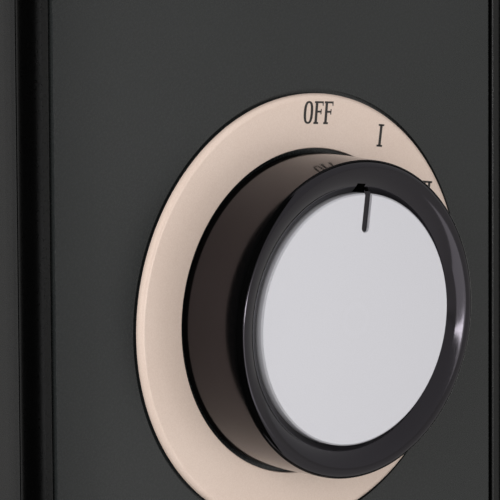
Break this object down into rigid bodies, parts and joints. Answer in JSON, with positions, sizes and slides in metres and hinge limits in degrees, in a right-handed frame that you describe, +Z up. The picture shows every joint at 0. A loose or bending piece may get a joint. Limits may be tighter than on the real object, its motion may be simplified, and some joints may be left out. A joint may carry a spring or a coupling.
{
  "type": "convector heater",
  "caption": "Free-standing electric convector heater with a dark grey steel housing, end caps with hand grips, feet, and rotary selector and thermostat dials on the right-hand end.",
  "frame": {"origin": "on the floor under the middle of the overall length, knobs included, and the middle of the housing's depth", "axes": "+Z up; +X along the length towards the end with the dials; -Y towards the front"},
  "size_m": [0.6119, 0.21, 0.402],
  "materials": {
    "panel_paint": "satin dark grey powder coat",
    "cap_plastic": "finely textured black-grey moulding",
    "fascia_plastic": "satin dark grey moulding",
    "champagne_lacquer": "satin champagne lacquer",
    "gloss_black": "polished black moulding",
    "satin_aluminium": "satin anodised",
    "zinc_steel": "bright zinc plate",
    "galvanised_sheet": "galvanised",
    "heater_aluminium": "as extruded or rolled",
    "rod_steel": "heat-darkened stainless steel",
    "ceramic": "unglazed white",
    "phenolic": "moulded brown phenolic",
    "white_nylon": "white nylon moulding",
    "brass_terminal": "bright stamped brass",
    "amber_lens": "translucent amber",
    "lead_silicone": "silicone rubber sleeve",
    "black_rubber": "matt rubber",
    "label_foil": "blank silver label"
  },
  "bodies": {
    "housing": {"front_panel": "panel_paint", "rear_panel": "panel_paint", "top_outlet_grille": "panel_paint", "bottom_inlet_grille": "panel_paint", "left_end_cap": "cap_plastic", "right_end_cap": "cap_plastic", "control_fascia": "fascia_plastic", "selector_bezel": "champagne_lacquer", "selector_switch": "phenolic", "thermostat_bezel": "champagne_lacquer", "thermostat_body": "white_nylon", "control_terminals": "brass_terminal", "control_screws": "zinc_steel", "fascia_screws": "zinc_steel", "pilot_lamp_lens": "amber_lens", "pilot_lamp_body": "white_nylon", "front_heating_fins": "heater_aluminium", "rear_heating_fins": "heater_aluminium", "heating_rods": "rod_steel", "ceramic_bushes": "ceramic", "left_element_bracket": "galvanised_sheet", "right_element_bracket": "galvanised_sheet", "bracket_screws": "zinc_steel", "front_heat_shield": "heater_aluminium", "rear_heat_shield": "heater_aluminium", "shield_rivets": "heater_aluminium", "thermal_cutout": "phenolic", "tilt_switch_case": "white_nylon", "tilt_switch_pin": "zinc_steel", "terminal_block": "white_nylon", "terminal_screws": "brass_terminal", "bay_screws": "zinc_steel", "wiring_leads": "lead_silicone", "cord_inlet": "black_rubber", "rear_panel_screws": "zinc_steel", "front_panel_screws": "zinc_steel", "left_foot": "cap_plastic", "right_foot": "cap_plastic", "foot_pads": "black_rubber", "foot_screws": "zinc_steel", "rating_label": "label_foil"},
    "selector": {"selector_knob": "gloss_black", "selector_knob_disc": "satin_aluminium", "selector_knob_clip": "zinc_steel", "selector_shaft": "zinc_steel"},
    "thermostat": {"thermostat_knob": "gloss_black", "thermostat_knob_disc": "satin_aluminium", "thermostat_knob_clip": "zinc_steel", "thermostat_shaft": "zinc_steel"},
    "tip_over_pendulum": {"tilt_pendulum": "brass_terminal"}
  },
  "joints": [
    {"name": "selector_turn", "type": "hinge", "parent": "housing", "child": "selector", "pos_m": [0.29405, 0.004, 0.262], "axis": [-1, 0, 0], "range_deg": [0, 79.5]},
    {"name": "thermostat_turn", "type": "hinge", "parent": "housing", "child": "thermostat", "pos_m": [0.29405, 0.004, 0.178], "axis": [-1, 0, 0], "range_deg": [0, 270]},
    {"name": "pendulum_swing", "type": "hinge", "parent": "housing", "child": "tip_over_pendulum", "pos_m": [0.23205, -0.02, 0.108], "axis": [1, 0, 0], "range_deg": [-25, 25]}
  ]
}
